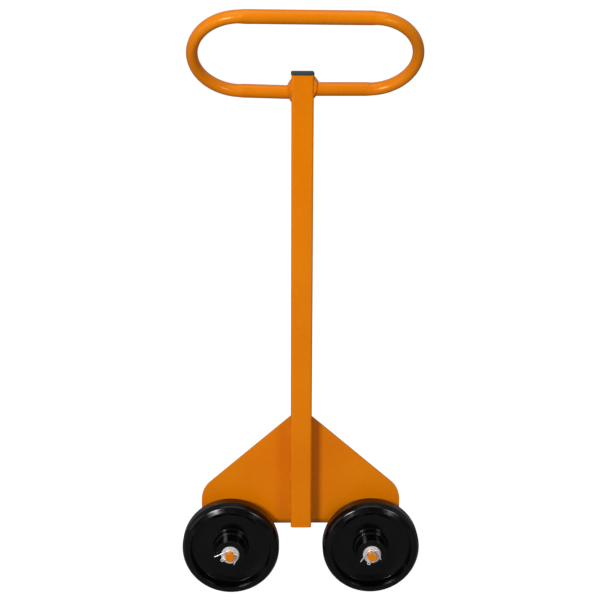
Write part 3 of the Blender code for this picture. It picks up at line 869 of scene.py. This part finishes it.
def makeBracket(side):
    low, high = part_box("axle_bracket_" + side)
    middleX = (low.x + high.x) / 2
    half = (high.x - low.x) / 2
    sheet, bend, r = bracket["sheet"], bracket["bend"], bracket["corner"]
    down = []
    for angle in arcAngles(0, math.radians(80), 8):  # rounded foot of a flange, from its full width down
        down.append((r * math.sin(angle), half - r + r * math.cos(angle)))
    edge = bracket["edge"]
    rows = []
    for flange, sign in ((low.y, -1.0), (high.y, 1.0)):
        inward = np.array((-sign, 0.0))
        part = [(np.array((flange, low.z + r - drop)), inward, wide, sheet) for drop, wide in down]
        foot, downward = np.array((flange, low.z + edge)), np.array((0.0, -1.0))
        part += easedEnd(foot, downward, inward, half - r, sheet, edge)
        middle = np.array((flange - sign * bend, high.z - bend))
        for angle in arcAngles(0, math.pi / 2, 8):
            outward = np.array((sign * math.cos(angle), math.sin(angle)))
            part.insert(0, (middle + bend * outward, -outward, half, sheet))
        rows += part[::-1] if sign < 0 else part
    grid = foldedSheet(*stackRows(rows), sheet, edge, bracket["columns"])
    grid[:, :, 0] += middleX
    piece = skin("axleBracket_" + side, grid)
    settle(piece, "frame", paint, ["axle_bracket_" + side])
    inset, top = bracket["weldInset"], high.z + bracket["weldRise"]
    for seam, sign in enumerate((-1, 1)):  # welds along both ends of the channel's top, under the toe
        start = np.array((middleX + sign * half, low.y + inset, top))
        end = np.array((middleX + sign * half, high.y - inset, top))
        aside, downward = np.array((sign, 0, 0)), np.array((0, 0, -1.0))
        seed = bracket["firstSeed"] + seam
        grid = beadGrid(start, end, aside, downward, bracket["weldLeg"], seed, bracket["weldRipples"])
        weld = skin(f"bracketWeld_{side}_{seam + 1}", grid)
        settle(weld, "frame", weldPaint, sharp=80, weighted=False)


# wheel: polished one-piece moulding, its section's corners as (radius, forward, fillet)
wheel = {
    "steps": 144,
    "shoulder": (0.0478, 0.0100),  # forward and fillet, at the tread's radius
    "face": [
        (0.0965, 0.0574, 0.0080),  # crown of the rim
        (0.0860, 0.0620, 0.0009),  # lip
        (0.0840, 0.0612, 0.0007),
        (0.0820, 0.0394, 0.0010),  # ledge at the foot of the lip
        (0.0690, 0.0360, 0.0060),  # web
        (0.0368, 0.0360, 0.0022),
        (0.0346, 0.0488, 0.0008),  # collar round the hub
        (0.0322, 0.0496, 0.0020),
    ],
    "hubNose": (0.0305, 0.0012),  # radius and fillet
    "hubTail": (0.0290, 0.0014),
    "back": [
        (0.0335, 0.0275, 0.0030),
        (0.0640, 0.0275, 0.0020),
        (0.0735, 0.0220, 0.0010),
        (0.0748, 0.0210, 0.0008),
    ],
    "treadBack": (0.0240, 0.0012),  # forward and fillet
    "rimEdge": (0.0030, 0.0010),  # how far inside the tread, and fillet
    "bearingSeat": 0.0178,
    "seatDepth": 0.0114,
    "seatEase": 0.0006,
    "waist": 0.0138,
}


def wheelSection(radius, hubBack, hubFront):
    seat, deep, ease, waist = wheel["bearingSeat"], wheel["seatDepth"], wheel["seatEase"], wheel["waist"]
    noseRadius, noseFillet = wheel["hubNose"]
    tailRadius, tailFillet = wheel["hubTail"]
    edgeInset, edgeFillet = wheel["rimEdge"]
    rimBack = wheel["back"][-1][1]
    bore = [
        (seat, hubFront, ease),
        (seat, hubFront - deep, 0),
        (waist, hubFront - deep, 0),
        (waist, hubBack + deep, 0),
        (seat, hubBack + deep, 0),
        (seat, hubBack, ease),
    ]
    front = [(radius, *wheel["shoulder"]), *wheel["face"], (noseRadius, hubFront, noseFillet)]
    back = [(tailRadius, hubBack, tailFillet), *wheel["back"]]
    back += [(radius - edgeInset, rimBack, edgeFillet), (radius, *wheel["treadBack"])]
    return filleted(front + bore + back)


def makeWheel(side, centre):
    low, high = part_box("wheel_" + side)
    section = wheelSection((high.x - low.x) / 2, plateFront - high.y, plateFront - low.y)
    piece = skin("wheel_" + side, turnedGrid(section, centre, wheel["steps"]), closeRows=True)
    plastic = makeWheelPlastic("wheelPlastic_" + side, (centre[0], 0, centre[1]))
    settle(piece, side + "_wheel", plastic, ["wheel_" + side], sharp=35)


# washers and sleeves on the axle
rings = {"boreGap": 0.0003, "edge": 0.0005, "sleeveEdge": 0.0008, "steps": 96}


def makeRing(name, node, centre, material, edge=rings["edge"]):
    low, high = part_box(node)
    outer = (high.x - low.x) / 2
    bore = axle["radius"] + rings["boreGap"]
    back, front = plateFront - high.y, plateFront - low.y
    inside = edge * 0.6
    frontCorners = [(outer, front, edge), (bore, front, inside)]
    backCorners = [(bore, back, inside), (outer, back, edge)]
    section = filleted(frontCorners + backCorners, 4)
    piece = skin(name, turnedGrid(section, centre, rings["steps"]), closeRows=True)
    settle(piece, "frame", material, [node], sharp=40)


# axle: rod with eased ends and a cross hole for the split pin
axle = {"radius": 0.009525, "easing": 0.0016, "holeRadius": 0.0026, "endRing": 0.005, "steps": 96}
chips = {"left": 0.0035, "right": 0.0075, "steelColour": (0.50, 0.47, 0.44)}


def drillAcross(piece, centre, pinForward, turn):  # a round hole through the axle, along the pin
    drill = bmesh.new()
    radius = axle["holeRadius"]
    depth = axle["radius"] * 3
    bmesh.ops.create_cone(drill, cap_ends=True, segments=32, radius1=radius, radius2=radius, depth=depth)
    drillMesh = bpy.data.meshes.new("drill")
    drill.to_mesh(drillMesh)
    drill.free()
    cutter = bpy.data.objects.new("drill", drillMesh)
    bpy.context.scene.collection.objects.link(cutter)
    cutter.rotation_euler = (0, math.pi / 2 - turn, 0)
    cutter.location = (centre[0], plateFront - pinForward, centre[1])
    hole = piece.modifiers.new("hole", "BOOLEAN")
    hole.object = cutter
    bpy.context.view_layer.update()
    drilled = bpy.data.meshes.new_from_object(piece.evaluated_get(bpy.context.evaluated_depsgraph_get()))
    piece.modifiers.clear()
    piece.data = drilled
    bpy.data.objects.remove(cutter)


def makeAxle(side, centre, pinForward, turn):
    low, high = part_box("axle_" + side)
    back, front = plateFront - high.y, plateFront - low.y
    r, e = axle["radius"], axle["easing"]
    turnEnd = arcAngles(0, math.pi / 2, 5)
    frontEnd = np.column_stack((r - e + e * np.sin(turnEnd), front - e + e * np.cos(turnEnd)))
    backEnd = np.column_stack((frontEnd[::-1, 0], back + front - frontEnd[::-1, 1]))
    stations = np.column_stack((np.full(7, r), np.linspace(front - 0.004, back + 0.004, 7)))
    frontFlat = [(0.0, front), (axle["endRing"], front)]
    backFlat = [(axle["endRing"], back), (0.0, back)]
    section = np.concatenate((frontFlat, frontEnd, stations, backEnd, backFlat))
    grid = turnedGrid(section, centre, axle["steps"])
    piece = skin("axle_" + side, grid, closeRows=True, closeColumns=False)
    drillAcross(piece, centre, pinForward, turn)
    worn = {
        "centre": (centre[0] + 0.002, plateFront - front + 0.003, centre[1] + r),
        "radius": chips[side],
        "steelColour": chips["steelColour"],
    }
    finish = makeOrangePaint("axlePaint_" + side, 0.0, worn)
    settle(piece, "frame", finish, ["axle_" + side], sharp=40)


# split pins: a wire bent double through the axle, its eye at one end and its two legs bent apart at the other
splitPin = {
    "forward": 0.0868,
    "wire": 0.0011,
    "legOffset": 0.00125,
    "eyeDistance": 0.0183,
    "eyeRadius": 0.0029,
    "wrap": 0.0120,
    "longBend": 0.0019,
    "longBendAt": 0.0096,
    "longTurn": math.radians(15),
    "wrapStart": math.radians(26),
    "shortBend": 0.0045,
    "shortBendAt": 0.0105,
    "shortTurn": math.radians(145),
    "shortTail": 0.0190,
    "spacing": 0.0006,
    "endTaper": 0.55,
    "sides": 14,
}
pinPoses = {"left": {"turn": 28, "tip": (0.0330, 155)}, "right": {"turn": 69, "tip": (0.0280, 142)}}


def arcLine(centre, radius, start, end, steps):
    angle = arcAngles(start, end, steps)
    return np.column_stack((centre[0] + radius * np.cos(angle), centre[1] + radius * np.sin(angle)))


def pinLine(tip):  # in the pin's plane: x runs through the axle away from the eye
    pin = splitPin
    offset = pin["legOffset"]
    tipRadius, tipAngle = tip[0], math.radians(tip[1])
    tipPoint = np.array((tipRadius * math.cos(tipAngle), tipRadius * math.sin(tipAngle)))
    leave = tipAngle - math.acos(pin["wrap"] / tipRadius)
    longCentre = (pin["longBendAt"], offset + pin["longBend"])
    longLeg = [arcLine(longCentre, pin["longBend"], -math.pi / 2, pin["longTurn"], 8)]
    longLeg += [arcLine((0, 0), pin["wrap"], pin["wrapStart"], leave, 24), tipPoint[None]]
    shortCentre = (pin["shortBendAt"], -offset - pin["shortBend"])
    shortLeg = arcLine(shortCentre, pin["shortBend"], math.pi / 2, math.pi / 2 - pin["shortTurn"], 16)
    tailWay = np.array((math.cos(pin["shortTurn"]), -math.sin(pin["shortTurn"])))
    tail = shortLeg[-1] + pin["shortTail"] * tailWay
    neck = math.asin(offset / pin["eyeRadius"])
    eye = arcLine((-pin["eyeDistance"], 0), pin["eyeRadius"], neck, math.tau - neck, 36)
    return np.concatenate((np.concatenate(longLeg)[::-1], eye, shortLeg, tail[None]))


def makeSplitPin(side, centre):
    pose = pinPoses[side]
    turn = math.radians(pose["turn"])
    flat = pinLine(pose["tip"])
    gap = np.concatenate(([0], np.cumsum(np.linalg.norm(np.diff(flat, axis=0), axis=1))))
    even = np.linspace(0, gap[-1], int(gap[-1] / splitPin["spacing"]))
    flat = np.column_stack((np.interp(even, gap, flat[:, 0]), np.interp(even, gap, flat[:, 1])))
    soft = np.array((1.0, 2.0, 3.0, 2.0, 1.0)) / 9
    inner = np.column_stack([np.convolve(flat[:, k], soft, "valid") for k in (0, 1)])
    flat = np.concatenate((flat[:1], inner, flat[-1:]))
    slope = np.gradient(flat, axis=0)
    slope /= np.linalg.norm(slope, axis=1)[:, None]
    right = np.array((math.cos(turn), 0, math.sin(turn)))
    up = np.array((-math.sin(turn), 0, math.cos(turn)))
    middle = np.array((centre[0], plateFront - splitPin["forward"], centre[1]))
    path = middle + flat[:, :1] * right + flat[:, 1:] * up
    across = -slope[:, 1:] * right + slope[:, :1] * up
    over = np.broadcast_to(np.array((0, -1.0, 0)), path.shape)
    radius = np.full(len(path), splitPin["wire"])
    radius[[0, -1]] *= splitPin["endTaper"]
    grid = tubeGrid(path, across, over, radius, radius, splitPin["sides"])
    piece = skin("splitPin_" + side, closeEnds(grid))
    settle(piece, "frame", zinc, ["cotter_pin_" + side], sharp=60, weighted=False)


for sideName in wheelSides:
    joint = next(j for j in frame["joints"] if j["child"] == sideName + "_wheel")
    axleCentre = (joint["pos_m"][0], joint["pos_m"][2])
    makeWheel(sideName, axleCentre)
    makeBracket(sideName)
    makeAxle(sideName, axleCentre, splitPin["forward"], math.radians(pinPoses[sideName]["turn"]))
    makeSplitPin(sideName, axleCentre)
    for place in ("outer", "inner"):
        makeRing(f"{place}Washer_{sideName}", f"{place}_washer_{sideName}", axleCentre, zinc)
    sleeveName, sleeveEdge = "axle_sleeve_" + sideName, rings["sleeveEdge"]
    makeRing("axleSleeve_" + sideName, sleeveName, axleCentre, paint, sleeveEdge)
    print(sideName, "running gear done")


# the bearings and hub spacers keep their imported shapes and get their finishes
bearingFinish = makeBearingSteel("bearingSteel")
for node, part in frame["nodes"].items():
    if node.startswith(("bearing_", "hub_spacer_")):
        part.data.materials.clear()
        part.data.materials.append(bearingFinish if node.startswith("bearing_") else zinc)

keepGlowOffDolly([item for item in bpy.context.scene.objects if item.type == "MESH" and item is not floor])

print("all pieces made")
